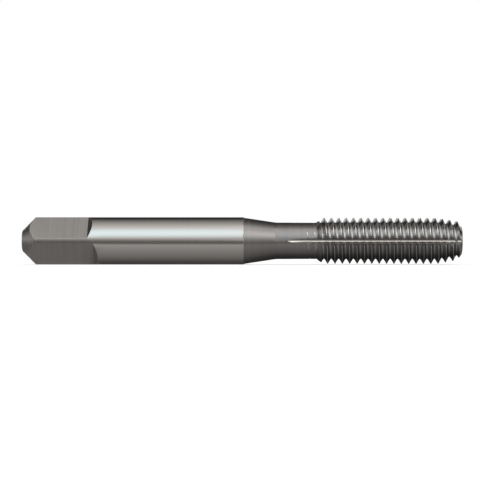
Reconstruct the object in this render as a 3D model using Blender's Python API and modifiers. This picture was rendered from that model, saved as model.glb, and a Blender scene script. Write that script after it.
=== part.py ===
"""A thread forming tap: one bar of high speed steel with a driving square, a ground shank,
a turned neck and a lobed, right-hand V thread with straight oil grooves.

The tap is drawn along +X, from the drive end to the thread's tip. It lies on its side on
z = 0, and the origin is under the middle of its length.
"""

import math

import bpy
import bmesh
from mathutils import Matrix, Vector

MM = 0.001

# Lengths along the tap, each measured from the drive end.
TO_FLATS_SHORT = 11.2 * MM
TO_FLATS_LONG = 12.15 * MM
TO_SHOULDER = 37.5 * MM
TO_NECK = 43.0 * MM
TO_THREAD = 49.8 * MM
TO_LEAD = 70.25 * MM
LENGTH = 74.45 * MM

# Shank and driving square.
SHANK_DIA = 8.0 * MM
SQUARE_ACROSS = 6.3 * MM
FLAT_RUNOUT = 0.8 * MM
DRIVE_CHAMFER = 2.25 * MM
DRIVE_CENTRE_DIA = 1.5 * MM

# Shoulder, cone and neck.
SHOULDER_STEP = 0.08 * MM
NECK_DIA = 6.2 * MM

# Thread. The crests and roots both follow the lobed section.
PITCH = 1.25 * MM
CREST_DIA = 8.06 * MM
THREAD_DEPTH = 0.94 * MM
FLANK_ANGLE = math.radians(30)
LOBES = 4
LOBE_RELIEF = 0.04 * MM
START_CHAMFER_ANGLE = math.radians(35)
LEAD_ANGLE = math.radians(10)
TIP_BEVEL = 0.75 * MM
TIP_FACE_DIA = 4.7 * MM
TIP_CENTRE_DIA = 2.0 * MM
CREST_PHASE = math.radians(90)
CREST_AT_PHASE = 51.16 * MM
ROOT_FLAT = 0.06 * MM
WHEEL_LEAVES = 1.6 * MM

# Oil grooves, one in each hollow between two lobes.
GROOVE_START = 45.0 * MM
GROOVE_BOTTOM_RADIUS = 0.36 * MM
GROOVE_WALL_ANGLE = math.radians(26)
GROOVE_IN_NECK = 0.37 * MM
GROOVE_WHEEL_RADIUS = 30.0 * MM

# Smoothness of the round shapes. A face of the shank, not an edge, points straight down.
SIDES = 36
CENTRE_CONE_ANGLE = math.radians(30)

SHANK_R = SHANK_DIA / 2
NECK_R = NECK_DIA / 2
CREST_R = CREST_DIA / 2
ROOT_R = CREST_R - THREAD_DEPTH
GROOVE_FLOOR_R = NECK_R - GROOVE_IN_NECK
HALF_STEP = math.pi / SIDES
OUT_TO_CORNER = 1 / math.cos(HALF_STEP)


def clear_scene():
    for obj in list(bpy.data.objects):
        bpy.data.objects.remove(obj, do_unlink=True)


def new_collection(name):
    collection = bpy.data.collections.new(name)
    bpy.context.scene.collection.children.link(collection)
    return collection


def steel(name, colour, roughness):
    material = bpy.data.materials.new(name)
    material.use_nodes = True
    shader = material.node_tree.nodes["Principled BSDF"]
    shader.inputs["Base Color"].default_value = (*colour, 1.0)
    shader.inputs["Metallic"].default_value = 1.0
    shader.inputs["Roughness"].default_value = roughness
    return material


def object_from_bmesh(name, bm, collection):
    mesh = bpy.data.meshes.new(name)
    bm.to_mesh(mesh)
    bm.free()
    obj = bpy.data.objects.new(name, mesh)
    collection.objects.link(obj)
    return obj


def hide_cutter(obj):
    obj.hide_render = True
    obj.display_type = "WIRE"


def lobe_drop(angle):
    """How far the section lies inside the lobes' circle at this angle about the axis."""
    return LOBE_RELIEF * (0.5 + 0.5 * math.cos(LOBES * (angle - CREST_PHASE)))


def lead_drop(x):
    """How far the tapered lead brings crest and root in at this length."""
    return max(0.0, x - TO_LEAD) * math.tan(LEAD_ANGLE)


def blank_radius(x):
    """The turned blank where the thread is ground: neck, start chamfer and bevelled tip."""
    start = NECK_R + max(0.0, x - TO_THREAD) * math.tan(START_CHAMFER_ANGLE)
    bevel_from = CREST_R - lead_drop(LENGTH - TIP_BEVEL)
    bevel = TIP_FACE_DIA / 2 + (LENGTH - x) * (bevel_from - TIP_FACE_DIA / 2) / TIP_BEVEL
    return max(min(start, bevel), TIP_FACE_DIA / 4)


def wheel_lift(x):
    """How far the thread grinding wheel has drawn out of the neck at this length."""
    return max(0.0, TO_THREAD - WHEEL_LEAVES - x) * 0.2


def turn(name, profile, angle_from, turns, climb, collection):
    """Sweeps a profile of (length, radius) points about the X axis with a Screw modifier."""
    bm = bmesh.new()
    points = [bm.verts.new((x, r * math.cos(angle_from), r * math.sin(angle_from))) for x, r in profile]
    for first, second in zip(points, points[1:]):
        bm.edges.new((first, second))
    obj = object_from_bmesh(name, bm, collection)
    screw = obj.modifiers.new("turn", "SCREW")
    screw.axis = "X"
    screw.iterations = turns
    screw.screw_offset = climb
    screw.steps = SIDES
    screw.render_steps = SIDES
    screw.use_merge_vertices = False
    screw.use_smooth_shade = True
    return obj


def swept_mesh(obj):
    """The swept surface as a bmesh with its seams welded; the profile object is removed."""
    graph = bpy.context.evaluated_depsgraph_get()
    mesh = bpy.data.meshes.new_from_object(obj.evaluated_get(graph))
    bm = bmesh.new()
    bm.from_mesh(mesh)
    bmesh.ops.remove_doubles(bm, verts=bm.verts, dist=1e-7)
    bpy.data.meshes.remove(mesh)
    bpy.data.objects.remove(obj, do_unlink=True)
    return bm


def shank_and_neck(collection):
    """Drive end, shank, shoulder, cone and neck as one turned surface, open at the thread."""
    profile = [
        (0.0, 0.0),
        (0.0, SHANK_R - DRIVE_CHAMFER),
        (DRIVE_CHAMFER, SHANK_R),
        (TO_SHOULDER, SHANK_R),
        (TO_SHOULDER, SHANK_R - SHOULDER_STEP),
        (TO_NECK, NECK_R),
        (TO_THREAD - WHEEL_LEAVES - 1.5 * PITCH, NECK_R),
    ]
    profile = [(x, r * OUT_TO_CORNER) for x, r in profile]
    return swept_mesh(turn("turned", profile, HALF_STEP, 1, 0.0, collection))


def threaded_end(collection):
    """One pitch of the V thread swept along the helix, then set to the lobed, tapered section."""
    half_root = ROOT_FLAT / 2
    half_crest = PITCH / 2 - half_root - THREAD_DEPTH * math.tan(FLANK_ANGLE)
    low = TO_THREAD - WHEEL_LEAVES - 3 * PITCH
    start = CREST_AT_PHASE - PITCH * math.ceil((CREST_AT_PHASE - low) / PITCH)
    turns = math.ceil((LENGTH - start) / PITCH) + 1
    profile = [
        (start - PITCH / 2 + half_root, ROOT_R),
        (start - half_crest, CREST_R),
        (start + half_crest, CREST_R),
        (start + PITCH / 2 - half_root, ROOT_R),
        (start + PITCH / 2 + half_root, ROOT_R),
    ]
    bm = swept_mesh(turn("swept", profile, CREST_PHASE + HALF_STEP, turns, PITCH, collection))
    on_crest = (CREST_R + ROOT_R) / 2
    for vertex in bm.verts:
        x, y, z = vertex.co
        radius = math.hypot(y, z)
        angle = math.atan2(z, y)
        limit = blank_radius(x)
        wanted = radius - lobe_drop(angle) - lead_drop(x)
        if radius > on_crest:
            # A crest edge that the blank cuts off slides down its own flank.
            turned = (angle - CREST_PHASE - HALF_STEP) / (2 * math.pi)
            phase = (x - CREST_AT_PHASE) / PITCH - turned
            side = math.copysign(1.0, phase - round(phase))
            cut_off = min(max(0.0, wanted - limit), THREAD_DEPTH)
            x += side * cut_off * math.tan(FLANK_ANGLE)
        else:
            wanted += wheel_lift(x)
        scale = min(wanted, limit) * OUT_TO_CORNER / radius
        vertex.co = (x, y * scale, z * scale)
    for place, facing in ((TO_THREAD - WHEEL_LEAVES - PITCH, -1), (LENGTH, 1)):
        every = list(bm.verts) + list(bm.edges) + list(bm.faces)
        bmesh.ops.bisect_plane(
            bm, geom=every, plane_co=(place, 0, 0), plane_no=(facing, 0, 0), clear_outer=True
        )
    return bm


def tap_before_cuts(collection):
    """Bridges the turned end to the threaded end and closes the tip with a flat face."""
    bm = shank_and_neck(collection)
    other = threaded_end(collection)
    mesh = bpy.data.meshes.new("threaded")
    other.to_mesh(mesh)
    other.free()
    bm.from_mesh(mesh)
    bpy.data.meshes.remove(mesh)
    rims = [edge for edge in bm.edges if edge.is_boundary]
    tip = [edge for edge in rims if min(v.co.x for v in edge.verts) > LENGTH - 0.01 * MM]
    neck = [edge for edge in rims if edge not in tip]
    bmesh.ops.bridge_loops(bm, edges=neck)
    bmesh.ops.holes_fill(bm, edges=tip)
    bmesh.ops.recalc_face_normals(bm, faces=bm.faces)
    if bm.calc_volume(signed=True) < 0:
        bmesh.ops.reverse_faces(bm, faces=bm.faces)
    return object_from_bmesh("thread_forming_tap", bm, collection)


def centre_cutter(name, x, diameter, facing, collection):
    """The cone of a centre hole, on which the tap is held between centres to be ground."""
    over = 0.2 * MM
    depth = diameter / 2 / math.tan(CENTRE_CONE_ANGLE)
    wide = (depth + over) * math.tan(CENTRE_CONE_ANGLE)
    bm = bmesh.new()
    bmesh.ops.create_cone(bm, cap_ends=True, segments=16, radius1=wide, radius2=0, depth=depth + over)
    bmesh.ops.translate(bm, verts=bm.verts, vec=(0, 0, (depth + over) / 2 - over))
    point_in = Matrix.Rotation(-facing * math.pi / 2, 3, "Y")
    bmesh.ops.rotate(bm, verts=bm.verts, cent=(0, 0, 0), matrix=point_in)
    bmesh.ops.translate(bm, verts=bm.verts, vec=(x, 0, 0))
    obj = object_from_bmesh(name, bm, collection)
    hide_cutter(obj)
    return obj


def groove_section(lift):
    """The groove's outline at one place, as (across, radius) points: round bottom, flared walls."""
    centre = GROOVE_FLOOR_R + GROOVE_BOTTOM_RADIUS + lift
    wall = math.pi / 2 - GROOVE_WALL_ANGLE
    out = SHANK_R + 1.0 * MM + lift
    points = []
    for step in range(5):
        angle = -wall + 2 * wall * step / 4
        points.append((GROOVE_BOTTOM_RADIUS * math.sin(angle), centre - GROOVE_BOTTOM_RADIUS * math.cos(angle)))
    across, radius = points[-1]
    flare = across + (out - radius) * math.tan(GROOVE_WALL_ANGLE)
    return [(-flare, out)] + points + [(flare, out)]


def groove_cutter(name, angle, collection):
    """Lofts the groove's outline along the thread and up the wheel's arc in the neck."""
    run = math.sqrt(2 * GROOVE_WHEEL_RADIUS * GROOVE_IN_NECK)
    threaded = LENGTH + 1.0 * MM - GROOVE_START - run
    stations = [(GROOVE_START + run + threaded * (8 - step) / 8, 0.0) for step in range(8)]
    for step in range(7):
        back = run * 1.25 * step / 6
        stations.append((GROOVE_START + run - back, back * back / 2 / GROOVE_WHEEL_RADIUS))
    across_axis = Vector((0, -math.sin(angle), math.cos(angle)))
    out_axis = Vector((0, math.cos(angle), math.sin(angle)))
    bm = bmesh.new()
    rings = []
    for x, lift in stations:
        ring = [bm.verts.new(Vector((x, 0, 0)) + across_axis * a + out_axis * r) for a, r in groove_section(lift)]
        rings.append(ring)
    for ring, following in zip(rings, rings[1:]):
        for i in range(len(ring)):
            j = (i + 1) % len(ring)
            bm.faces.new((ring[i], ring[j], following[j], following[i]))
    bm.faces.new(rings[0])
    bm.faces.new(rings[-1])
    bmesh.ops.recalc_face_normals(bm, faces=bm.faces)
    obj = object_from_bmesh(name, bm, collection)
    hide_cutter(obj)
    return obj


def flat_cutter(name, angle, length, collection):
    """What the wheel takes off one side of the square: a block with a sloped end."""
    reach = SHANK_R + 1.0 * MM
    flat = SQUARE_ACROSS / 2
    slope = FLAT_RUNOUT / (SHANK_R - flat)
    outline = [
        (-1.0 * MM, flat),
        (length, flat),
        (length + (reach - flat) * slope, reach),
        (-1.0 * MM, reach),
    ]
    across_axis = Vector((0, -math.sin(angle), math.cos(angle)))
    out_axis = Vector((0, math.cos(angle), math.sin(angle)))
    bm = bmesh.new()
    side = [bm.verts.new(Vector((x, 0, 0)) + out_axis * r - across_axis * reach) for x, r in outline]
    face = bm.faces.new(side)
    extruded = bmesh.ops.extrude_face_region(bm, geom=[face])["geom"]
    moved = [item for item in extruded if isinstance(item, bmesh.types.BMVert)]
    bmesh.ops.translate(bm, verts=moved, vec=across_axis * 2 * reach)
    bmesh.ops.recalc_face_normals(bm, faces=bm.faces)
    obj = object_from_bmesh(name, bm, collection)
    hide_cutter(obj)
    return obj


def cut(obj, cutter):
    boolean = obj.modifiers.new(cutter.name, "BOOLEAN")
    boolean.operation = "DIFFERENCE"
    boolean.solver = "EXACT"
    boolean.object = cutter


def main():
    clear_scene()
    parts = new_collection("thread_forming_tap")
    cutters = new_collection("cutters")

    tap = tap_before_cuts(parts)
    tap.data.materials.append(steel("ground_steel", (0.42, 0.41, 0.40), 0.28))
    tap.data.shade_smooth()
    tap.data.set_sharp_from_angle(angle=math.radians(25))

    for number in range(LOBES):
        angle = CREST_PHASE + number * 2 * math.pi / LOBES
        cut(tap, groove_cutter(f"oil_groove_cutter_{number + 1}", angle, cutters))
    for number in range(4):
        angle = math.radians(45 + 90 * number)
        length = TO_FLATS_SHORT if number % 2 else TO_FLATS_LONG
        cut(tap, flat_cutter(f"flat_cutter_{number + 1}", angle, length, cutters))

    cut(tap, centre_cutter("drive_centre_cutter", 0.0, DRIVE_CENTRE_DIA, -1, cutters))
    cut(tap, centre_cutter("tip_centre_cutter", LENGTH, TIP_CENTRE_DIA, 1, cutters))

    # Lays the tap on z = 0 with the origin under its middle.
    laid = Matrix.Translation((-LENGTH / 2, 0, SHANK_R))
    for obj in list(parts.objects) + list(cutters.objects):
        obj.data.transform(laid)


main()
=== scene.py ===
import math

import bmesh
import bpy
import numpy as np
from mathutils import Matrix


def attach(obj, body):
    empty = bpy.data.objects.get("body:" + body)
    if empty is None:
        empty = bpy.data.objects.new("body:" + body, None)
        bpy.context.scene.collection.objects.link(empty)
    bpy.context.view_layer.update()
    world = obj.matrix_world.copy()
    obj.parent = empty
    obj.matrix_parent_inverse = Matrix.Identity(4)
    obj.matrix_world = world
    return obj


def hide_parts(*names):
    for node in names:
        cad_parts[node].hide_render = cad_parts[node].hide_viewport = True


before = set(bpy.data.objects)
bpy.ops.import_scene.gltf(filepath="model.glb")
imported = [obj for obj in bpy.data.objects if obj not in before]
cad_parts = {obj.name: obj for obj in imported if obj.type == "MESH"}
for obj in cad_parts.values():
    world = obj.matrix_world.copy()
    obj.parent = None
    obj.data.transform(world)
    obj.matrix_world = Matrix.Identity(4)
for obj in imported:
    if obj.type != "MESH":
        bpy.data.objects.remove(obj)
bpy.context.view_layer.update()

# %% [markdown]
# # A thread forming tap on a pale floor
# The object is one bar of high speed steel. A square drives it, a round ground shank guides
# it, a slimmer turned neck leads to the thread, and the thread has lobes and oil grooves.
# A cylinder could be cut to this shape with Booleans, but along a thread they leave slivers.
# So the lesson builds the whole bar as one function: for a place along the axis and an angle
# round it, how far out is the steel? Everything else is where to sample it.

MM = 0.001

# %% [markdown]
# ## The tap's own sizes
# These are the sizes of the real tap, in metres, with lengths measured from the drive end.
# The surface has to fit the solid model, so it uses the same values: an 8 mm shank, a
# 6.3 mm square and a 1.25 mm pitch. Later cells add the sizes that only they need.

# %% Sizes
LENGTH = 74.45 * MM
SHANK_R = 4.0 * MM
SHOULDER_X = 37.5 * MM
NECK_X = 43.0 * MM
NECK_R = 3.1 * MM
RIM_X = 47.0 * MM
THREAD_X = 49.8 * MM
PITCH = 1.25 * MM
FINE_EDGE = 0.02 * MM
print("pitch to shank:", round(PITCH / (2 * SHANK_R), 4))

# %% [markdown]
# ## Angles round the axis
# Four oil grooves and the four corners of the square lie at the same angles: top, bottom,
# front and back. The columns of the surface crowd together there, where the shape turns
# sharply, and spread out between. One list of angles serves the whole bar, so the shank and
# the thread meet point to point.

# %% Columns
QUARTER_TURN = math.pi / 2
QUARTER = np.radians([
    0, 1.1, 2.2, 3.3, 4.4, 5.4, 6.2, 6.95, 7.5, 8.1, 8.7, 9.3, 9.9, 10.5,
    11.1, 12, 14, 18, 23, 28.5, 34, 39.5, 45,
])
ONE_SIDE = np.concatenate([-QUARTER[:0:-1], QUARTER])[1:]
ANGLES = np.concatenate([ONE_SIDE + quarter * math.pi / 2 for quarter in range(4)])
FROM_CORNER = np.concatenate([ONE_SIDE] * 4)
COLUMNS = len(ANGLES)
print("columns round the axis:", COLUMNS)

# %% [markdown]
# ## Blending two surfaces
# Where one ground surface meets another, the edge is never perfectly sharp. A Bevel modifier
# could round it, but it needs clean edges to work on. A soft minimum takes the lower of two
# radii and rounds the crossing itself, by a few hundredths of a millimetre.

# %% Soft minimum
def soft_min(a, b, width):
    """The lower of two radii, rounded where they cross: min minus a bump that fades with
    their difference. width is how far the rounding reaches, in metres."""
    apart = np.clip(1 - np.abs(a - b) / width, 0, 1)
    return np.minimum(a, b) - 0.25 * width * apart * apart


def soft_max(a, b, width):
    """The higher of two radii, rounded in the same way: the soft minimum turned over."""
    return -soft_min(-a, -b, width)


print("at a crossing the edge drops by", round(0.25 * FINE_EDGE / MM, 4), "mm")

# %% [markdown]
# ## The oil groove
# A narrow wheel grinds each groove along the thread. It leaves a round bottom and two
# flared walls, and where it lifts out in the neck the groove grows shallow along the wheel's
# own arc. Seen from the axis, the groove is a radius for each angle from its middle, so it
# can join the thread by a soft minimum instead of a cut.

# %% Groove
GROOVE_FLOOR_R = NECK_R - 0.37 * MM
GROOVE_BOTTOM = 0.36 * MM
GROOVE_WALL = math.radians(26)
GROOVE_START = 45.0 * MM
GROOVE_WHEEL = 30.0 * MM
PARALLEL = 1e-4
FAR_OUT = 1.0


def groove_radius(angle, lift):
    """Radius of the groove's surface at an angle from its middle. Its bottom is a circle of
    radius b whose centre lies at h: r = h cos a - sqrt(b^2 - (h sin a)^2). Beyond the point
    where the wall leaves the circle, the wall is a straight line. It leaves at (u, v), and
    r = (v tan g - u) / (cos a tan g - sin a), with g the wall's angle from the middle plane.
    Past the wall's own direction there is no groove, and the radius is far out."""
    b = GROOVE_BOTTOM
    h = GROOVE_FLOOR_R + b + lift
    side = np.abs(angle)
    inside = np.clip(b * b - (h * np.sin(side)) ** 2, 0, None)
    bottom = h * np.cos(side) - np.sqrt(inside)
    leave_u = b * math.cos(GROOVE_WALL)
    leave_v = h - b * math.sin(GROOVE_WALL)
    slope = math.tan(GROOVE_WALL)
    under = np.cos(side) * slope - np.sin(side)
    wall = (leave_v * slope - leave_u) / np.where(under > PARALLEL, under, PARALLEL)
    on_wall = side > np.arctan2(leave_u, leave_v)
    radius = np.where(on_wall, wall, bottom)
    return np.where((under > PARALLEL) | ~on_wall, radius, FAR_OUT)


def groove_lift(x):
    """How far the wheel has risen: the distance back from full depth, squared, over twice
    the wheel's radius."""
    full = GROOVE_START + math.sqrt(2 * GROOVE_WHEEL * (NECK_R - GROOVE_FLOOR_R))
    back = np.clip(full - x, 0, None)
    return back * back / (2 * GROOVE_WHEEL)


print("groove floor, mm:", round(float(groove_radius(np.array([0.0]), 0.0)[0]) / MM, 3))

# %% [markdown]
# ## The thread
# A forming tap doesn't cut: its lobes press the thread into the hole. So the V thread climbs
# round a section that isn't quite round. It has four slightly high lobes, with the oil
# grooves in the low places between. The last turns taper, so that the tap can start. A Screw
# modifier could sweep the V, but not these lobes, so the thread is a wave along the axis.

# %% Thread
CREST_R = 4.03 * MM
THREAD_DEPTH = 0.94 * MM
ROOT_R = CREST_R - THREAD_DEPTH
CREST_AT_TOP = 51.143 * MM
LOBE_RELIEF = 0.04 * MM
FLANK_HOLLOW = 1.2
ABOVE_THE_CREST = 0.05 * MM
CREST_ROUNDING = 0.05 * MM
ROOT_ROUNDING = 0.12 * MM
ROOT_ROUNDING_IN_NECK = 0.04 * MM
LEAD_X = 70.25 * MM
LEAD_SLOPE = math.tan(math.radians(10))
WHEEL_OUT_X = THREAD_X - 1.6 * MM
WHEEL_OUT_SLOPE = 0.2


def lobe_drop(angle):
    """Half the relief times one plus the cosine of four times the angle: nought on a lobe,
    the whole relief beside a groove."""
    return LOBE_RELIEF * (0.5 + 0.5 * np.cos(4 * angle))


def lead_drop(x):
    """The taper that lets the tap start: the way past the lead's start times its slope."""
    return np.clip(x - LEAD_X, 0, None) * LEAD_SLOPE


def thread_radius(x, angle):
    """A V wave along the axis that moves on one pitch a turn. With t the share of half a
    pitch away from a crest, the flank stands above the root by its depth times (1 - t)^1.2:
    a little hollow, steep at the crest and open at the root. It aims just above the crest,
    and crest and root are then rounded off. Lobes and lead lower it, and towards the neck
    it rises with the grinding wheel, which leaves only fine rings there."""
    turns = (angle - QUARTER_TURN) / (2 * math.pi)
    phase = (x - CREST_AT_TOP) / PITCH - turns
    away = np.abs(phase - np.round(phase)) * PITCH
    left = np.clip(1 - away / (PITCH / 2), 0, 1)
    flank = ROOT_R + (THREAD_DEPTH + ABOVE_THE_CREST) * left ** FLANK_HOLLOW
    ridge = soft_min(flank, CREST_R, CREST_ROUNDING)
    root_width = np.where(x < THREAD_X, ROOT_ROUNDING_IN_NECK, ROOT_ROUNDING)
    wheel_out = np.clip(WHEEL_OUT_X - x, 0, None) * WHEEL_OUT_SLOPE
    return soft_max(ridge, ROOT_R, root_width) - lobe_drop(angle) - lead_drop(x) + wheel_out


print("crest and root at the top, mm:", [
    round(float(thread_radius(np.array([x]), QUARTER_TURN)[0]) / MM, 3)
    for x in (CREST_AT_TOP, CREST_AT_TOP + PITCH / 2)
])

# %% [markdown]
# ## The blank and the whole threaded end
# Before it is threaded, the bar is turned: a neck, a chamfer up to the thread's diameter and
# a bevel at the tip. Turning, threading and grooving each take steel away, so what is left
# at any place is simply the lowest of the three surfaces.

# %% Threaded end
START_SLOPE = math.tan(math.radians(35))
TIP_BEVEL = 0.75 * MM
TIP_FACE_R = 2.35 * MM
BLANK_ROUNDING = 0.08 * MM


def blank_radius(x):
    """The turned blank, as the lower of two cones: the neck's radius plus the way past the
    thread's start times the slope of a 35 degree chamfer, and the tip face's radius plus the
    way back from the tip times the bevel's slope."""
    start = NECK_R + np.clip(x - THREAD_X, 0, None) * START_SLOPE
    at_bevel = CREST_R - lead_drop(LENGTH - TIP_BEVEL)
    bevel = TIP_FACE_R + (LENGTH - x) * (at_bevel - TIP_FACE_R) / TIP_BEVEL
    return soft_min(start, bevel, BLANK_ROUNDING)


def threaded_end(x, angle, from_corner):
    """Blank, thread and groove together: whichever lies lowest is what is left."""
    steel = soft_min(thread_radius(x, angle), blank_radius(x), FINE_EDGE)
    return soft_min(steel, groove_radius(from_corner, groove_lift(x)), FINE_EDGE)


tip_rim = threaded_end(np.full(COLUMNS, LENGTH), ANGLES, FROM_CORNER)
print("radius of the tip's rim, mm:", round(float(tip_rim.max()) / MM, 3))

# %% [markdown]
# ## Turning points into a mesh
# A grid of points needs only two things to become a mesh: coordinates, and for each cell the
# numbers of its four corners. Worked out as whole arrays, both take no loop over points. Each
# grid here closes on itself round the axis.

# %% Grid helpers
def on_axis(x, radius, angle):
    """Points in the tap's place: along X, with the radius laid off at the angle round the
    axis, from +Y towards +Z. The axis lies one shank radius above the floor."""
    return np.stack([x - LENGTH / 2, radius * np.cos(angle), radius * np.sin(angle) + SHANK_R], -1)


def ring_cells(rows, first):
    """Corner numbers of the cells between rows of a grid that closes round the axis: a point,
    its neighbour round the axis, and the two points that follow them in the next row."""
    row, column = np.meshgrid(np.arange(rows - 1), np.arange(COLUMNS), indexing="ij")
    following = (column + 1) % COLUMNS
    a = first + row * COLUMNS + column
    b = first + row * COLUMNS + following
    return np.stack([a, b, b + COLUMNS, a + COLUMNS], -1).reshape(-1, 4)


print("cells between two rings:", len(ring_cells(2, 0)))

# %% [markdown]
# ## The square's flats
# The square is ground across the round blank, so each flat ends in a curved run-out and
# leaves a narrow strip of the blank, a land, at each corner. A Boolean with four boxes would
# do it, but here each column needs only to know how far out its flat lies and where it ends.
# Two opposite flats are a little longer than the others, as on the real tap.

# %% Flats
SQUARE_HALF = 3.15 * MM
FLAT_SHORT = 11.2 * MM
FLAT_LONG = 12.15 * MM
HALF_LAND = math.radians(6.95)


def is_long_flat(angle):
    """The first and third quarter turns carry the long flats."""
    return np.floor(angle / QUARTER_TURN) % 2 == 0


def flat_geometry():
    """For each column: the radius on the flat, the flat's length and how deep it is cut.
    A flat at distance f from the axis has the radius f over the cosine of the angle from its
    middle, until that passes the shank's own radius. Across a land the length goes over from
    one flat's to the other's."""
    middle = (np.floor(ANGLES / QUARTER_TURN) + 0.5) * math.pi / 2
    from_middle = ANGLES - middle
    radius = np.minimum(SQUARE_HALF / np.cos(from_middle), SHANK_R)
    depth = np.clip(SHANK_R * np.cos(from_middle) - SQUARE_HALF, 0, None)
    own = np.where(is_long_flat(ANGLES), FLAT_LONG, FLAT_SHORT)
    other = np.where(is_long_flat(ANGLES), FLAT_SHORT, FLAT_LONG)
    share = np.clip((HALF_LAND - np.abs(FROM_CORNER)) / (2 * HALF_LAND), 0, 0.5)
    return radius, own + (other - own) * share, depth


print("deepest cut of a flat, mm:", round(flat_geometry()[2].max() / MM, 3))

# %% [markdown]
# ## The drive end, the shank and the neck
# For each angle, one profile runs from the centre hole over the chamfer, the flat or the
# corner, the end of the flat, the shank and the shoulder to the neck. A plain lathe profile
# couldn't hold the square, so the profile's key points move with the angle, and the flats'
# curved ends fall exactly on edges of the mesh. Small arcs round the corners between them.
# A centre hole is a cone of 60 degrees, so it is its radius times the root of three deep.

# %% Profile of the turned end
END_FACE_R = 1.75 * MM
DRIVE_HOLE_R = 0.75 * MM
HOLE_STEEPNESS = math.sqrt(3)
POLE_R = 1e-7
RUNOUT_SLOPE = 0.8 / 0.85
SHOULDER_R = 3.92 * MM
SHOULDER_STEP = 0.05 * MM
GUARD = 0.12 * MM
NECK_GRID_X = RIM_X - 3.0 * MM
ARC_POINTS = 5
ARC_SHARE = 0.4
TINY = 1e-12


def rounded_profile(keys):
    """Follows the key points, and replaces each corner that has a radius by a smooth arc:
    it starts and ends at the same distance from the corner, and the corner pulls it in, as
    start (1 - t)^2 + corner 2 t (1 - t) + end t^2. Each key is (x, radius, rounding in mm,
    steps to the next key), with an x and a radius for each column or one for all."""
    points = [np.stack([x + 0 * ANGLES, r + 0 * ANGLES], -1) for x, r, *rest in keys]
    rows = [points[0]]
    for k in range(1, len(keys) - 1):
        before, corner, after = points[k - 1], points[k], points[k + 1]
        rounding, steps = keys[k][2:]
        to_before = before - corner
        to_after = after - corner
        length_before = np.linalg.norm(to_before, axis=-1, keepdims=True) + TINY
        length_after = np.linalg.norm(to_after, axis=-1, keepdims=True) + TINY
        reach = np.minimum(rounding * MM, ARC_SHARE * np.minimum(length_before, length_after))
        start = corner + to_before / length_before * reach
        end = corner + to_after / length_after * reach
        for t in np.linspace(0, 1, ARC_POINTS):
            rows.append(start * (1 - t) ** 2 + corner * 2 * t * (1 - t) + end * t * t)
        for t in np.linspace(0, 1, steps + 1)[1:-1]:
            rows.append(end + (after - end) * t)
    rows.append(points[-1])
    return np.array(rows)


def turned_grid():
    """The grid from the drive end's centre hole to the neck. Guard points close before and
    after the shoulder keep the smooth shading of the long shank and cone from leaning."""
    radius, flat_end, depth = flat_geometry()
    cone_slope = (SHOULDER_R - NECK_R) / (NECK_X - SHOULDER_X - SHOULDER_STEP)
    rows = rounded_profile([
        (DRIVE_HOLE_R * HOLE_STEEPNESS, POLE_R, 0, 1),
        (0.0, DRIVE_HOLE_R, 0.04, 1),
        (0.0, END_FACE_R, 0.06, 2),
        (radius - END_FACE_R, radius, 0.05, 4),
        (flat_end, radius, 0.06, 1),
        (flat_end + depth * RUNOUT_SLOPE + FINE_EDGE, SHANK_R, 0.02, 12),
        (SHOULDER_X - GUARD, SHANK_R, 0.02, 1),
        (SHOULDER_X, SHANK_R, 0.03, 1),
        (SHOULDER_X + SHOULDER_STEP, SHOULDER_R, 0.02, 1),
        (SHOULDER_X + SHOULDER_STEP + GUARD, SHOULDER_R - GUARD * cone_slope, 0.02, 6),
        (NECK_X, NECK_R, 0.5, 4),
        (NECK_GRID_X, NECK_R, 0, 1),
    ])
    return rows[..., 0], rows[..., 1], np.broadcast_to(ANGLES, rows.shape[:2])


print("rows from the drive end to the neck:", len(turned_grid()[0]))

# %% [markdown]
# ## Sampling the neck, the thread and the tip
# Plain rings would cut across the thread and fray its crests. So the thread's rows climb
# with the helix, and crests and roots always lie on edges of the mesh. Rows that would pass
# the neck's end or the tip are held at that plane. They fold up on each other there, and
# merging doubled points closes them into a clean ring.

# %% Grids of the threaded end
NECK_RINGS = 16
TIP_HOLE_R = 1.0 * MM
SPARE_TURNS = 4
ACROSS_A_PITCH = np.array([
    -0.625, -0.59, -0.56, -0.525, -0.42, -0.3, -0.18, -0.09, -0.055, -0.025,
    0.0, 0.025, 0.055, 0.09, 0.18, 0.3, 0.42, 0.525, 0.56, 0.59,
]) * MM


def neck_grid():
    """Plain rings along the neck, where the oil grooves begin."""
    xs = np.linspace(NECK_GRID_X, RIM_X, NECK_RINGS)
    x, angle = np.meshgrid(xs, ANGLES, indexing="ij")
    groove = groove_radius(np.broadcast_to(FROM_CORNER, x.shape), groove_lift(x))
    return x, soft_min(NECK_R, groove, FINE_EDGE), angle


def helix_grid():
    """The grid that follows the helix: one line per column and turn, and across it the
    places of one pitch, close together on crest and root. A crest's place is the one at the
    top plus a pitch for each turn that the line has climbed."""
    turns = int(math.ceil((LENGTH - RIM_X) / PITCH)) + SPARE_TURNS
    first = int(math.floor((RIM_X - CREST_AT_TOP) / PITCH)) - 1
    line = np.arange(turns * COLUMNS + 1)
    column = line % COLUMNS
    angle = ANGLES[column]
    climb = (angle - QUARTER_TURN) / (2 * math.pi) + first + line // COLUMNS
    crest_x = CREST_AT_TOP + climb * PITCH
    x = np.clip(crest_x[:, None] + ACROSS_A_PITCH, RIM_X, LENGTH)
    wide = np.broadcast_to(angle[:, None], x.shape)
    corner = np.broadcast_to(FROM_CORNER[column][:, None], x.shape)
    return x, threaded_end(x, wide, corner), wide


def tip_grid():
    """The end face: from the rim over the flat face to the bottom of the centre hole."""
    x = np.array([LENGTH, LENGTH, LENGTH - TIP_HOLE_R * HOLE_STEEPNESS])
    radius = np.stack([tip_rim, np.full(COLUMNS, TIP_HOLE_R), np.full(COLUMNS, POLE_R)])
    return x[:, None] + 0 * radius, radius, np.broadcast_to(ANGLES, radius.shape)


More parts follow.
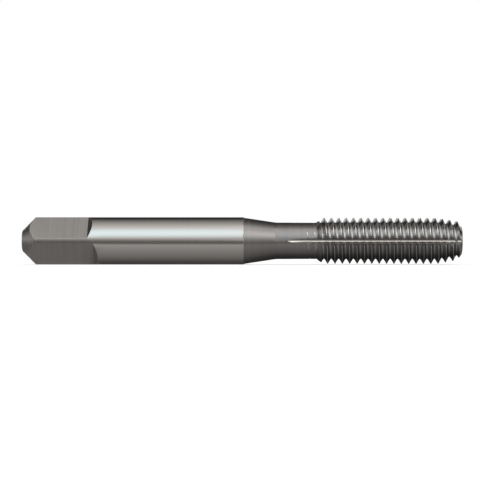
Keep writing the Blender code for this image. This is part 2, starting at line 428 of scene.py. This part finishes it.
def helix_cells(lines, places, first):
    """Corner numbers of the cells along the helix. The last place of one turn joins the
    first place of the next, which lies one whole turn of lines further on."""
    line, place = np.meshgrid(np.arange(lines - 1), np.arange(places), indexing="ij")
    wraps = place == places - 1
    a = first + line * places + place
    b = np.where(wraps, first + (line + COLUMNS) * places, a + 1)
    inside = b + places < first + lines * places
    a, b = a[inside], b[inside]
    return np.stack([b, b + places, a + places, a], -1).reshape(-1, 4)


print("points along the thread:", helix_grid()[0].size)

# %% [markdown]
# ## One closed surface
# The grids are put end to end, doubled points are merged, and cells that folded flat are
# dropped. The rings at the bottom of the centre holes shrink to a point in the same way.
# The parts could stay separate meshes, but then seams would show in the reflections. What
# is left is one closed skin, and the count of open edges proves it.

# %% Build the tap
WELD = 3e-7
FOLDED = 1e-8
SHARP = math.radians(24)


def build_tap():
    """All grids as one mesh, welded, with its faces outwards."""
    grids = [turned_grid(), neck_grid(), helix_grid(), tip_grid()]
    points = np.concatenate([on_axis(*grid).reshape(-1, 3) for grid in grids])
    turned, neck, helix, tip = [grid[0].shape for grid in grids]
    firsts = np.cumsum([0] + [grid[0].size for grid in grids])
    cells = np.concatenate([
        ring_cells(turned[0], firsts[0]),
        ring_cells(neck[0], firsts[1]),
        helix_cells(*helix, firsts[2]),
        ring_cells(tip[0], firsts[3]),
    ])
    mesh = bpy.data.meshes.new("tap_surface")
    mesh.from_pydata(points, [], cells)
    bm = bmesh.new()
    bm.from_mesh(mesh)
    bmesh.ops.remove_doubles(bm, verts=bm.verts, dist=WELD)
    bmesh.ops.dissolve_degenerate(bm, edges=bm.edges, dist=FOLDED)
    bmesh.ops.recalc_face_normals(bm, faces=bm.faces)
    if bm.calc_volume(signed=True) < 0:
        bmesh.ops.reverse_faces(bm, faces=bm.faces)
    open_edges = sum(edge.is_boundary for edge in bm.edges)
    odd_edges = sum(not edge.is_manifold for edge in bm.edges)
    bm.to_mesh(mesh)
    bm.free()
    print("open edges:", open_edges, "odd edges:", odd_edges)
    return mesh


tap_mesh = build_tap()
tap = bpy.data.objects.new("forming_tap", tap_mesh)
bpy.context.scene.collection.objects.link(tap)
tap_mesh.shade_smooth()
tap_mesh.set_sharp_from_angle(angle=SHARP)
print("faces:", len(tap_mesh.polygons),
      "triangles:", sum(len(face.vertices) - 2 for face in tap_mesh.polygons))

# %% [markdown]
# ## Which finish each face has
# Turning, cross-grinding, cylindrical grinding and thread grinding leave different steel.
# The parts could be painted by hand, but the same formulas that shaped the bar also say
# where each tool has been: a face's middle is tested against them, and a later rule wins
# over an earlier one. The flats' ends, the walls of the grooves and the chamfer at the
# thread's start share one dark finish, which is painted shade. The thread is painted darker
# as shade, and its crests and roots lighter as painted highlights. The fine rings that the
# thread's wheel leaves in the neck share the groove bottoms' painted highlight, and both end
# faces the neck's finish.

# %% Finish of each face
FINISHES = [
    "ground_shank", "ground_flats", "turned_neck", "thread_painted_shade", "centre_holes",
    "crests_painted_highlight", "groove_and_ring_painted_highlight", "turned_land", "walls_painted_shade", "roots_painted_highlight",
]
GROUND_AWAY = 0.012 * MM
FLATS_REACH = FLAT_LONG + 0.9 * MM
LANDS_REACH = FLAT_SHORT - 0.3 * MM
RUNOUT_BEGINS = 0.03 * MM
START_CHAMFER = (THREAD_X + 0.02 * MM, THREAD_X + 0.8 * MM)
FULL_THREAD_X = THREAD_X + 0.9 * MM
CREST_BAND = 0.04 * MM
ROOT_BAND = 0.09 * MM
WHEEL_TOUCHES = 0.001 * MM
NECK_BAND = 0.06 * MM
GROOVE_MARGIN = 0.008 * MM
GROOVE_BOTTOM_BAND = 0.045 * MM
END_MARGIN = 0.01 * MM
DRIVE_HOLE_X = 1.4 * MM
TIP_HOLE_X = LENGTH - 1.8 * MM


def face_centres(mesh):
    """Middle of each face as an array of (x, y, z)."""
    centres = np.empty(len(mesh.polygons) * 3)
    mesh.polygons.foreach_get("center", centres)
    return centres.reshape(-1, 3)


def finish_numbers(mesh):
    """Picks each face's finish from where its middle lies: its place along the axis, its
    distance out from the axis and its angle round it."""
    centre = face_centres(mesh)
    along = centre[:, 0] + LENGTH / 2
    out = np.hypot(centre[:, 1], centre[:, 2] - SHANK_R)
    angle = np.arctan2(centre[:, 2] - SHANK_R, centre[:, 1])
    number = np.zeros(len(centre), dtype=np.int32)

    def give(finish, where):
        number[where] = FINISHES.index(finish)

    flat_end = np.where(is_long_flat(angle), FLAT_LONG, FLAT_SHORT)
    on_flat = (along < FLATS_REACH) & (out < SHANK_R - GROUND_AWAY)
    give("ground_flats", on_flat)
    give("turned_land", (along < LANDS_REACH) & (out > SHANK_R - GROUND_AWAY))
    # The flats' ends take a dark colour that is painted shade.
    give("walls_painted_shade", on_flat & (along > flat_end + RUNOUT_BEGINS))
    give("turned_neck", along > SHOULDER_X + FINE_EDGE)
    # The thread takes a darker colour, which is painted shade.
    give("thread_painted_shade", along > THREAD_X)
    # The thread's start chamfer takes the same painted shade.
    give("walls_painted_shade", (along > START_CHAMFER[0]) & (along < START_CHAMFER[1]))
    lowered = lobe_drop(angle) + lead_drop(along)
    full_thread = along > FULL_THREAD_X
    # The crests of the full thread get a painted highlight.
    give("crests_painted_highlight", full_thread & (out > CREST_R - lowered - CREST_BAND))
    # The roots of the full thread get a painted highlight.
    give("roots_painted_highlight", full_thread & (out < ROOT_R - lowered + ROOT_BAND))
    before_thread = (along > RIM_X) & (along < THREAD_X - FINE_EDGE)
    wheel_cut = before_thread & (thread_radius(along, angle) < NECK_R - WHEEL_TOUCHES)
    # The wheel's rings in the neck get a painted highlight.
    give("groove_and_ring_painted_highlight", wheel_cut & (out > NECK_R - NECK_BAND))
    from_corner = (angle + QUARTER_TURN / 2) % QUARTER_TURN - QUARTER_TURN / 2
    lift = groove_lift(along)
    in_groove = (along > GROOVE_START) & (groove_radius(from_corner, lift) < out + GROOVE_MARGIN)
    # The grooves' walls take the dark painted shade, and their bottoms a painted highlight.
    give("walls_painted_shade", in_groove)
    give("groove_and_ring_painted_highlight", in_groove & (out < GROOVE_FLOOR_R + lift + GROOVE_BOTTOM_BAND))
    give("turned_neck", (along > LENGTH - END_MARGIN) | (along < END_MARGIN))
    give("centre_holes", ((along < DRIVE_HOLE_X) | (along > TIP_HOLE_X)) & (out < TIP_HOLE_R))
    return number


face_finishes = finish_numbers(tap_mesh)
print("faces of each finish:", dict(zip(FINISHES, np.bincount(face_finishes).tolist())))

# %% [markdown]
# ## Steel
# The whole bar is one steel, so the finishes differ in what the last tool left: how rough it
# is, and which way its fine marks run. Some finishes also differ in colour as painted light:
# brighter crests, roots and groove bottoms are painted highlights, and the darker thread,
# flats' ends and walls are painted shade. A photo of steel could be wrapped on, but it would
# carry its own light. A shader group draws the marks instead, as bands along the axis,
# because both a turned and a cross-ground face are scored across it.

# %% Marks group
MM_PER_METRE = 1000.0
BROAD_BANDS = 1400.0


def math_node(nodes, operation, value=None):
    """A Math node for one operation. A value, if given, is its second input."""
    node = nodes.new("ShaderNodeMath")
    node.operation = operation
    if value is not None:
        node.inputs[1].default_value = value
    return node


def make_marks_group():
    """Bands across the axis from two noises that vary quickly along X and slowly across: the
    point's X in metres times the fineness, and its Y and Z in millimetres times the smear."""
    group = bpy.data.node_groups.new("tool_marks", "ShaderNodeTree")
    face = group.interface
    for name, value in (("Fineness", 20000.0), ("Smear", 0.05)):
        socket = face.new_socket(name=name, in_out="INPUT", socket_type="NodeSocketFloat")
        socket.default_value = value
    face.new_socket(name="Fine", in_out="OUTPUT", socket_type="NodeSocketFloat")
    face.new_socket(name="Broad", in_out="OUTPUT", socket_type="NodeSocketFloat")
    nodes = group.nodes
    links = group.links
    given = nodes.new("NodeGroupInput")
    put = nodes.new("NodeGroupOutput")
    where = nodes.new("ShaderNodeTexCoord")
    split = nodes.new("ShaderNodeSeparateXYZ")
    links.new(where.outputs["Object"], split.inputs[0])

    def band(fineness, detail):
        """One noise. Without a fineness of its own it takes the group's."""
        along = math_node(nodes, "MULTIPLY", fineness)
        links.new(split.outputs["X"], along.inputs[0])
        if fineness is None:
            links.new(given.outputs["Fineness"], along.inputs[1])
        smear = math_node(nodes, "MULTIPLY", MM_PER_METRE)
        links.new(given.outputs["Smear"], smear.inputs[0])
        across = nodes.new("ShaderNodeVectorMath")
        across.operation = "SCALE"
        links.new(where.outputs["Object"], across.inputs[0])
        links.new(smear.outputs[0], across.inputs["Scale"])
        parts = nodes.new("ShaderNodeSeparateXYZ")
        links.new(across.outputs[0], parts.inputs[0])
        joined = nodes.new("ShaderNodeCombineXYZ")
        links.new(along.outputs[0], joined.inputs["X"])
        links.new(parts.outputs["Y"], joined.inputs["Y"])
        links.new(parts.outputs["Z"], joined.inputs["Z"])
        noise = nodes.new("ShaderNodeTexNoise")
        noise.inputs["Scale"].default_value = 1.0
        noise.inputs["Detail"].default_value = detail
        links.new(joined.outputs[0], noise.inputs["Vector"])
        return noise

    links.new(band(fineness=None, detail=3.0).outputs["Fac"], put.inputs["Fine"])
    links.new(band(fineness=BROAD_BANDS, detail=2.0).outputs["Fac"], put.inputs["Broad"])
    return group


marks_group = make_marks_group()
print("group", marks_group.name, "with", len(marks_group.nodes), "nodes")

# %% [markdown]
# ## The finishes of the tap
# A ground shank is nearly a mirror. Flats ground across the bar are rougher and streaked,
# and the turned neck is duller still. Anisotropy could stretch the gloss, but here the marks
# are coarse enough to be seen, so they are drawn: they move colour and roughness a little
# and feed a bump two thousandths of a millimetre high. Each finish is one row of a table.
# Its tint was set by comparing renders with the photo. So the tints differ more than one
# steel's would, because they also make up for marks too fine to model, and for light that
# the tent doesn't copy.

# %% A material from one row
NOISE_LOW = 0.25
NOISE_HIGH = 0.75
BUMP_HEIGHT = 0.002 * MM


def steel_finish(name, colour, roughness, spread, fineness, smear, tint, bump, broad_share):
    """Metal whose tint and roughness vary a little with the tool marks, and whose bump
    follows the fine ones. spread is how far roughness swings, tint how far colour does."""
    material = bpy.data.materials.new(name)
    material.use_nodes = True
    nodes = material.node_tree.nodes
    links = material.node_tree.links
    shader = nodes["Principled BSDF"]
    shader.inputs["Metallic"].default_value = 1.0
    marks = nodes.new("ShaderNodeGroup")
    marks.node_tree = marks_group
    marks.inputs["Fineness"].default_value = fineness
    marks.inputs["Smear"].default_value = smear
    both = nodes.new("ShaderNodeMix")
    both.data_type = "FLOAT"
    both.inputs["Factor"].default_value = broad_share
    links.new(marks.outputs["Fine"], both.inputs["A"])
    links.new(marks.outputs["Broad"], both.inputs["B"])
    paint = nodes.new("ShaderNodeMix")
    paint.data_type = "RGBA"
    paint.inputs["A"].default_value = (*[c * (1 - tint) for c in colour], 1)
    paint.inputs["B"].default_value = (*[min(c * (1 + tint), 1) for c in colour], 1)
    links.new(both.outputs["Result"], paint.inputs["Factor"])
    links.new(paint.outputs["Result"], shader.inputs["Base Color"])
    rough = nodes.new("ShaderNodeMapRange")
    rough.inputs["From Min"].default_value = NOISE_LOW
    rough.inputs["From Max"].default_value = NOISE_HIGH
    rough.inputs["To Min"].default_value = roughness - spread
    rough.inputs["To Max"].default_value = roughness + spread
    links.new(both.outputs["Result"], rough.inputs["Value"])
    links.new(rough.outputs["Result"], shader.inputs["Roughness"])
    raised = nodes.new("ShaderNodeBump")
    raised.inputs["Strength"].default_value = bump
    raised.inputs["Distance"].default_value = BUMP_HEIGHT
    links.new(marks.outputs["Fine"], raised.inputs["Height"])
    links.new(raised.outputs["Normal"], shader.inputs["Normal"])
    return material


print("roughness follows the marks between noise values", NOISE_LOW, "and", NOISE_HIGH)

# %% Steel finishes
STEEL = (0.62, 0.577, 0.546)
DULL_STEEL = (0.33, 0.308, 0.295)
FLAT_STEEL = (0.475, 0.445, 0.419)
LAND_STEEL = (0.51, 0.478, 0.45)
# Painted highlight: the crests are paler than any steel, so that they shine as bright lines.
CREST_PAINTED_HIGHLIGHT = (0.88, 0.86, 0.84)
# Painted highlight: the roots are paler than the shank's steel, so that they show a bright streak.
ROOT_PAINTED_HIGHLIGHT = (0.72, 0.70, 0.68)
# Painted shade: the thread is darker than the shank's steel, as shade in its valleys.
THREAD_PAINTED_SHADE = (0.46, 0.447, 0.44)
# Painted shade: the flats' ends, the grooves' walls and the thread's start chamfer are darkened.
WALL_PAINTED_SHADE = (0.30, 0.275, 0.265)
# Painted highlight: groove bottoms and the wheel's rings in the neck are paler, so that they shine as
# bright lines.
GROOVE_AND_RING_PAINTED_HIGHLIGHT = (0.82, 0.77, 0.70)
# Colour, roughness, its spread, fineness, smear, tint, bump, share of the broad bands.
FINISH_ROWS = {
    "ground_shank": (STEEL, 0.13, 0.01, 9000, 0.02, 0.02, 0.02, 0.5),
    "ground_flats": (FLAT_STEEL, 0.34, 0.05, 6000, 0.08, 0.22, 0.2, 0.6),
    "turned_neck": (DULL_STEEL, 0.30, 0.04, 7000, 0.03, 0.20, 0.3, 0.6),
    "thread_painted_shade": (THREAD_PAINTED_SHADE, 0.14, 0.02, 12000, 0.03, 0.04, 0.05, 0.5),
    "crests_painted_highlight": (CREST_PAINTED_HIGHLIGHT, 0.14, 0.02, 12000, 0.03, 0.04, 0.05, 0.5),
    "roots_painted_highlight": (ROOT_PAINTED_HIGHLIGHT, 0.14, 0.02, 12000, 0.03, 0.04, 0.05, 0.5),
    "turned_land": (LAND_STEEL, 0.18, 0.03, 9000, 0.03, 0.10, 0.05, 0.5),
    "walls_painted_shade": (WALL_PAINTED_SHADE, 0.30, 0.03, 9000, 0.03, 0.06, 0.1, 0.5),
    "groove_and_ring_painted_highlight": (GROOVE_AND_RING_PAINTED_HIGHLIGHT, 0.18, 0.03, 9000, 0.03, 0.06, 0.08, 0.5),
    "centre_holes": (STEEL, 0.35, 0.03, 9000, 0.03, 0.05, 0.1, 0.5),
}
for name in FINISHES:
    tap_mesh.materials.append(steel_finish(name, *FINISH_ROWS[name]))
tap_mesh.polygons.foreach_set("material_index", face_finishes)
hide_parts("thread_forming_tap")
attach(tap, "root")
print("finishes:", ", ".join(material.name for material in tap_mesh.materials))

# %% [markdown]
# ## The floor
# The tap lies on a pale, matt surface. Brighter lamps would turn it white, but they would
# burn out the steel as well. So the floor has a plain grey colour of its own, and only for
# the camera a little added white. The object's shadow still falls on it.

# %% Floor
FLOOR_GREY = 0.47
FLOOR_OWN_WHITE = 0.56


def plain_object(name, points, cells):
    """A piece of the studio from its points and cells."""
    mesh = bpy.data.meshes.new(name)
    mesh.from_pydata(points, [], cells)
    obj = bpy.data.objects.new(name, mesh)
    bpy.context.scene.collection.objects.link(obj)
    return obj


def floor_paint():
    """Matt grey, with white of its own where a ray comes straight from the camera."""
    paint = bpy.data.materials.new("pale_floor")
    paint.use_nodes = True
    nodes = paint.node_tree.nodes
    links = paint.node_tree.links
    shader = nodes["Principled BSDF"]
    shader.inputs["Base Color"].default_value = (FLOOR_GREY, FLOOR_GREY, FLOOR_GREY, 1)
    shader.inputs["Roughness"].default_value = 1.0
    shader.inputs["Specular IOR Level"].default_value = 0.0
    shader.inputs["Emission Color"].default_value = (1, 1, 1, 1)
    path = nodes.new("ShaderNodeLightPath")
    own_white = math_node(nodes, "MULTIPLY", FLOOR_OWN_WHITE)
    links.new(path.outputs["Is Camera Ray"], own_white.inputs[0])
    links.new(own_white.outputs[0], shader.inputs["Emission Strength"])
    return paint


floor = plain_object("floor", [(-4, -2.5, 0), (4, -2.5, 0), (4, 4, 0), (-4, 4, 0)], [(0, 1, 2, 3)])
floor.data.materials.append(floor_paint())
print("floor, m:", [round(v, 2) for v in floor.dimensions])

# %% [markdown]
# ## Cloths that only reflections see
# Polished steel is mostly a picture of what stands round it, so a photographer hangs white
# cloth about it. Area lamps could stand for the cloths, but each has one even brightness. A
# sheet whose points carry their own light can fade from bright to dark along a table. It is
# hidden from everything but reflections, so it neither lights the floor nor throws a shadow.

# %% Helpers for the cloths
def soft_window(value, low, high, edge):
    """One between low and high, falling to nought over the edge's width on either side. Each
    edge is the smooth step t^2 (3 - 2 t), with t the share of its width that is passed."""
    rise = np.clip((value - low) / edge + 0.5, 0, 1)
    fall = np.clip((high - value) / edge + 0.5, 0, 1)
    return rise * rise * (3 - 2 * rise) * fall * fall * (3 - 2 * fall)


def sheet_cells(rows, columns):
    """Corner numbers of the cells of an open grid: a point, the next in its row, and the two
    points that follow them in the next row."""
    row, column = np.meshgrid(np.arange(rows - 1), np.arange(columns - 1), indexing="ij")
    a = row * columns + column
    return np.stack([a, a + 1, a + columns + 1, a + columns], -1).reshape(-1, 4)


def seen_in_reflections_only(obj):
    """Hides an object from every ray but the glossy ones."""
    obj.visible_camera = False
    obj.visible_diffuse = False
    obj.visible_transmission = False
    obj.visible_volume_scatter = False
    obj.visible_shadow = False


def glowing_cloth(name, points, cells, colours):
    """A sheet seen in reflections only, whose points carry their own light."""
    sheet = plain_object(name, points, cells)
    attribute = sheet.data.attributes.new("glow", "FLOAT_COLOR", "POINT")
    alpha = np.ones((len(points), 1))
    attribute.data.foreach_set("color", np.hstack([colours, alpha]).ravel())
    cloth = bpy.data.materials.new(name + "_cloth")
    cloth.use_nodes = True
    nodes = cloth.node_tree.nodes
    nodes.clear()
    read = nodes.new("ShaderNodeAttribute")
    read.attribute_name = "glow"
    emit = nodes.new("ShaderNodeEmission")
    out = nodes.new("ShaderNodeOutputMaterial")
    cloth.node_tree.links.new(read.outputs["Color"], emit.inputs["Color"])
    cloth.node_tree.links.new(emit.outputs[0], out.inputs["Surface"])
    sheet.data.materials.append(cloth)
    seen_in_reflections_only(sheet)
    print(name, "glows from", round(float(colours.min()), 3), "to", round(float(colours.max()), 3))


print("halfway down an edge a window gives", float(soft_window(0.0, 0.0, 10.0, 1.0)))

# %% [markdown]
# ## The light tent
# The tent is a half pipe round the tap's axis, with a wall at each end. A round bar shows
# each height of it as one line along its side, so the tables of brightness against height
# draw the highlights directly. Over the thread the steel faces other ways, so its cloth has
# a table of its own. The turn is nought at the front edge, 90 overhead and 180 behind. The
# numbers were set by comparing renders with the photo.

# %% Brightness of the tent
UP_THE_TENT = np.array([
    (0, 0.20), (8, 0.44), (20, 0.97), (30, 1.27), (41, 1.36), (52, 1.22), (64, 0.88),
    (80, 0.64), (96, 0.44), (118, 0.18), (130, 0.06), (142, 0.015), (180, 0.015),
])
OVER_THE_THREAD = np.array([
    (0, 1.50), (8, 1.20), (14, 0.12), (22, 0.18), (30, 0.38), (38, 0.56), (48, 0.88),
    (58, 1.15), (68, 1.42), (76, 1.36), (84, 0.80), (92, 0.18), (100, 0.14), (108, 0.04),
    (120, 0.02), (180, 0.015),
])
SIDE_WINDOW = np.array([
    (0, 0.0), (22, 0.06), (32, 0.22), (42, 0.50), (52, 0.85), (64, 1.05), (74, 0.95),
    (83, 0.38), (91, 0.06), (98, 0.00), (180, 0.0),
])
COOL_WHITE = np.array([0.90, 1.06, 1.12])
PLAIN_WHITE = np.array([1.0, 1.01, 1.01])
RIGHT_WINDOW = 1.75
LEFT_WINDOW = 1.85
NECK_FRONT_LIFT = 0.50
NECK_BACK_LIFT = 0.12
LOW_BEHIND = 0.7
FILL = 0.28
FAR_ENDS = 0.14
LEAST_GLOW = 0.015
# Spans along the cloth in metres: from, to, and the width of the soft edges.
THREAD_ALONG = (0.050, 0.235, 0.016)
NECK_ALONG = (0.022, 0.60, 0.012)
KEY_ALONG = (-1.0, 0.012, 0.016)
MIDDLE_ALONG = (-0.55, 0.55, 0.2)
RIGHT_ALONG = (0.55, 1.40, 0.2)
LEFT_ALONG = (-1.40, -0.55, 0.2)
FLAG_ALONG = (-0.17, 0.17, 0.06)
UNFILLED_ALONG = (-0.26, 0.26, 0.06)
FILL_ALONG = (-0.95, 0.95, 0.2)
NEAR_ALONG = (-1.4, 1.4, 0.3)
# Spans up and over the cloth in degrees of turn, in the same way.
KEY_TURN = (18, 60, 14)
NECK_FRONT_TURN = (12, 50, 10)
NECK_BACK_TURN = (92, 150, 14)
LOW_BEHIND_TURN = (163, 190, 6)
FILL_TURN = (124, 146, 14)
FAR_ENDS_TURN = (100, 165, 10)


def height_table(turn, table):
    """Brightness at a height of the tent, straight between the rows of a table."""
    return np.interp(turn, table[:, 0], table[:, 1])


def tent_glow(turn, along):
    """Brightness and tint of the cloth at a turn and a place along it, as a sum: the middle
    cloth with its own table over the thread and a lift at front and back over the neck, a
    soft window at each side, the white surround low behind on either side of a narrow black
    flag, a fill higher up behind, and a dim glow at the far ends. The front of the middle
    cloth left of the thread is a cool white, all else a plain one."""
    over_neck = soft_window(along, *NECK_ALONG)
    level = height_table(turn, UP_THE_TENT)
    level = level * (1 + NECK_FRONT_LIFT * over_neck * soft_window(turn, *NECK_FRONT_TURN))
    level = level + NECK_BACK_LIFT * over_neck * soft_window(turn, *NECK_BACK_TURN)
    over_thread = soft_window(along, *THREAD_ALONG)
    thread_level = height_table(turn, OVER_THE_THREAD)
    middle = soft_window(along, *MIDDLE_ALONG)
    centre = (level * (1 - over_thread) + thread_level * over_thread) * middle
    key = soft_window(turn, *KEY_TURN) * soft_window(along, *KEY_ALONG)
    side = height_table(turn, SIDE_WINDOW)
    right = RIGHT_WINDOW * soft_window(along, *RIGHT_ALONG) * side
    left = LEFT_WINDOW * soft_window(along, *LEFT_ALONG) * side
    beside_flag = 1 - soft_window(along, *FLAG_ALONG)
    low_behind = LOW_BEHIND * soft_window(turn, *LOW_BEHIND_TURN) * beside_flag
    fill = FILL * (1 - soft_window(along, *UNFILLED_ALONG)) * soft_window(along, *FILL_ALONG)
    fill = fill * soft_window(turn, *FILL_TURN)
    far_ends = FAR_ENDS * (1 - soft_window(along, *NEAR_ALONG)) * soft_window(turn, *FAR_ENDS_TURN)
    rest = centre * (1 - key) + right + left + low_behind + fill + far_ends
    return (centre * key)[..., None] * COOL_WHITE + rest[..., None] * PLAIN_WHITE + LEAST_GLOW


print("glow 45 degrees up in front:", tent_glow(np.array([45.0]), np.array([0.0])).round(3))

# %% Light tent
TENT_RADIUS = 1.0
TENT_HALF = 2.0
WALL_LOW_GLOW = 0.62
WALL_TOP_GLOW = 0.12


def light_tent(radius):
    """A half pipe round the tap's axis, as (along, -r cos turn, r sin turn), and its walls,
    which are bright at the foot and dim at the top."""
    turns = np.arange(0, 180.1, 2.0)
    alongs = np.linspace(-TENT_HALF, TENT_HALF, 81)
    turn, along = np.meshgrid(turns, alongs, indexing="ij")
    angle = np.radians(turn)
    points = np.stack([along, -radius * np.cos(angle), radius * np.sin(angle)], -1).reshape(-1, 3)
    glowing_cloth("light_tent", points, sheet_cells(*turn.shape), tent_glow(turn, along).reshape(-1, 3))
    for name, x in (("left_wall", -TENT_HALF), ("right_wall", TENT_HALF)):
        wall = [(x, -radius, 0), (x, radius, 0), (x, radius, radius), (x, -radius, radius)]
        glow = np.array([WALL_LOW_GLOW, WALL_LOW_GLOW, WALL_TOP_GLOW, WALL_TOP_GLOW])
        glowing_cloth(name, wall, [(0, 1, 2, 3)], glow[:, None] * np.ones((1, 3)))


light_tent(TENT_RADIUS)

# %% [markdown]
# ## The bench card
# The lower half of a shiny bar mirrors the bench close under it, where its own shadow lies.
# The floor itself could be left to do this, but then its brightness would tie the steel's
# underside to the background. A card just above the floor, seen in reflections only, gives
# the steel its own bench: dark under the tap, paler in front.

# %% Bench card
NEAR_THE_TAP = np.array([
    (-17, 0.165), (-15, 0.40), (-11, 0.43), (-7, 0.365), (-4.6, 0.29), (-3, 0.21),
    (-1.5, 0.08), (0, 0.04), (4, 0.03), (7, 0.26), (11, 0.36), (15, 0.34), (30, 0.22), (60, 0.2),
])
UNDER_THE_FLATS = 0.238
BESIDE_GLOW = 0.17
BESIDE_GLOW_FRONT = 0.73
THREAD_SHADE = 0.28
CARD_HEIGHT = 0.01 * MM
# Spans on the bench in millimetres, along the tap and across it: from, to, soft edge.
FLATS_ALONG = (-41, -25.2, 3)
FLATS_ACROSS = (-8, 4, 2)
TAP_ALONG = (-41, 41, 6)
FRONT_ACROSS = (-300, -1, 4)
SHADE_ALONG = (13, 41, 5)
SHADE_ACROSS = (-20, 2, 3)


def bench_card():
    """What the steel sees of the bench: brightness against the distance to the front or back
    from the table, an even grey under the flats, a little shade under the thread, and
    beyond the tap's ends a dim bench with a bright place at the front right."""
    near_y = np.arange(-18, 12.1, 0.5) * MM
    near_x = np.linspace(-60, 60, 61) * MM
    ys = np.concatenate([[-1.0, -0.3, -0.1, -0.03], near_y, [0.03, 0.06, 0.3, 1.0]])
    xs = np.concatenate([[-2, -0.5, -0.1], near_x, [0.1, 0.5, 2]])
    y, x = np.meshgrid(ys, xs, indexing="ij")
    glow = np.interp(y / MM, NEAR_THE_TAP[:, 0], NEAR_THE_TAP[:, 1])
    under_flats = soft_window(x / MM, *FLATS_ALONG) * soft_window(y / MM, *FLATS_ACROSS)
    glow = glow * (1 - under_flats) + UNDER_THE_FLATS * under_flats
    by_the_tap = soft_window(x / MM, *TAP_ALONG)
    front_right = soft_window(y / MM, *FRONT_ACROSS) * (x > 0)
    far_glow = BESIDE_GLOW + BESIDE_GLOW_FRONT * front_right
    glow = glow * by_the_tap + far_glow * (1 - by_the_tap)
    by_the_thread = soft_window(x / MM, *SHADE_ALONG) * soft_window(y / MM, *SHADE_ACROSS)
    glow = glow * (1 - THREAD_SHADE * by_the_thread)
    points = np.stack([x, y, np.full_like(x, CARD_HEIGHT)], -1).reshape(-1, 3)
    glowing_cloth("bench_card", points, sheet_cells(*x.shape), glow.reshape(-1, 1) * np.ones((1, 3)))


bench_card()

# %% [markdown]
# ## The suns
# The photo's shadow is pale and has no edge, as between two big soft boxes. Two wide suns
# give the same on a floor of any size, where area lamps would leave bright pools. They are
# hidden from reflections, because the tent already says what the steel sees.

# %% Suns
def soft_sun(name, azimuth, elevation, spread, strength):
    """A wide, soft sun for the floor. Angles are in degrees, and azimuth is measured from
    straight behind the tap. spread is how wide the sun looks in the sky."""
    data = bpy.data.lights.new(name, "SUN")
    data.energy = strength
    data.angle = math.radians(spread)
    lamp = bpy.data.objects.new(name, data)
    lamp.rotation_euler = (math.radians(90 - elevation), 0, math.pi - math.radians(azimuth))
    lamp.visible_glossy = False
    bpy.context.scene.collection.objects.link(lamp)
    print(name, "at", azimuth, "degrees, strength", strength)


soft_sun("left_sun", azimuth=-38, elevation=45, spread=40, strength=1.0)
soft_sun("right_sun", azimuth=38, elevation=45, spread=40, strength=1.0)

# %% [markdown]
# ## The world
# The background is white. One even white world could light everything, but it would wash
# out the shadow. So camera, glossy and transmitted rays see full white, and the light that
# falls on matt things is a weaker white.

# %% World
SKY_LIGHT = 0.60
SKY_SEEN = 1.0


def white_world():
    """A white background whose strength is the greatest of three ray flags, scaled from the
    sky's light to what is seen of it."""
    world = bpy.data.worlds.new("white_surround")
    world.use_nodes = True
    nodes = world.node_tree.nodes
    links = world.node_tree.links
    path = nodes.new("ShaderNodeLightPath")
    seen = math_node(nodes, "MAXIMUM")
    links.new(path.outputs["Is Camera Ray"], seen.inputs[0])
    links.new(path.outputs["Is Glossy Ray"], seen.inputs[1])
    shown = math_node(nodes, "MAXIMUM")
    links.new(seen.outputs[0], shown.inputs[0])
    links.new(path.outputs["Is Transmission Ray"], shown.inputs[1])
    level = nodes.new("ShaderNodeMapRange")
    level.inputs["To Min"].default_value = SKY_LIGHT
    level.inputs["To Max"].default_value = SKY_SEEN
    links.new(shown.outputs[0], level.inputs["Value"])
    links.new(level.outputs["Result"], nodes["Background"].inputs["Strength"])
    nodes["Background"].inputs["Color"].default_value = (1, 1, 1, 1)
    return world


bpy.context.scene.world = white_world()
print("world:", bpy.context.scene.world.name)

# %% [markdown]
# ## The camera
# The photo was taken square-on from near by, about a third of a metre away, so the thread's
# crests in front look a little wider than the axis. An orthographic camera would lose that.
# The lens follows from the distance and from how much of the tap one pixel covers.

# %% Camera
DISTANCE = 0.320
PIXEL = 0.1698 * MM
IMAGE_WIDTH = 480
SENSOR_WIDTH = 36.0
TAP_RIGHT_OF_MIDDLE = 2.0 * PIXEL
AXIS_BELOW_MIDDLE = 0.85 * PIXEL
camera_data = bpy.data.cameras.new("camera")
camera_data.sensor_width = SENSOR_WIDTH
camera_data.lens = SENSOR_WIDTH * DISTANCE / (IMAGE_WIDTH * PIXEL)
camera_data.clip_start = 0.01
camera_data.clip_end = 10.0
camera = bpy.data.objects.new("camera", camera_data)
camera.location = (-TAP_RIGHT_OF_MIDDLE, -DISTANCE, SHANK_R + AXIS_BELOW_MIDDLE)
camera.rotation_euler = (QUARTER_TURN, 0, 0)
bpy.context.scene.collection.objects.link(camera)
bpy.context.scene.camera = camera
bpy.context.scene.view_settings.view_transform = "Standard"
print("lens, mm:", round(camera_data.lens, 1))
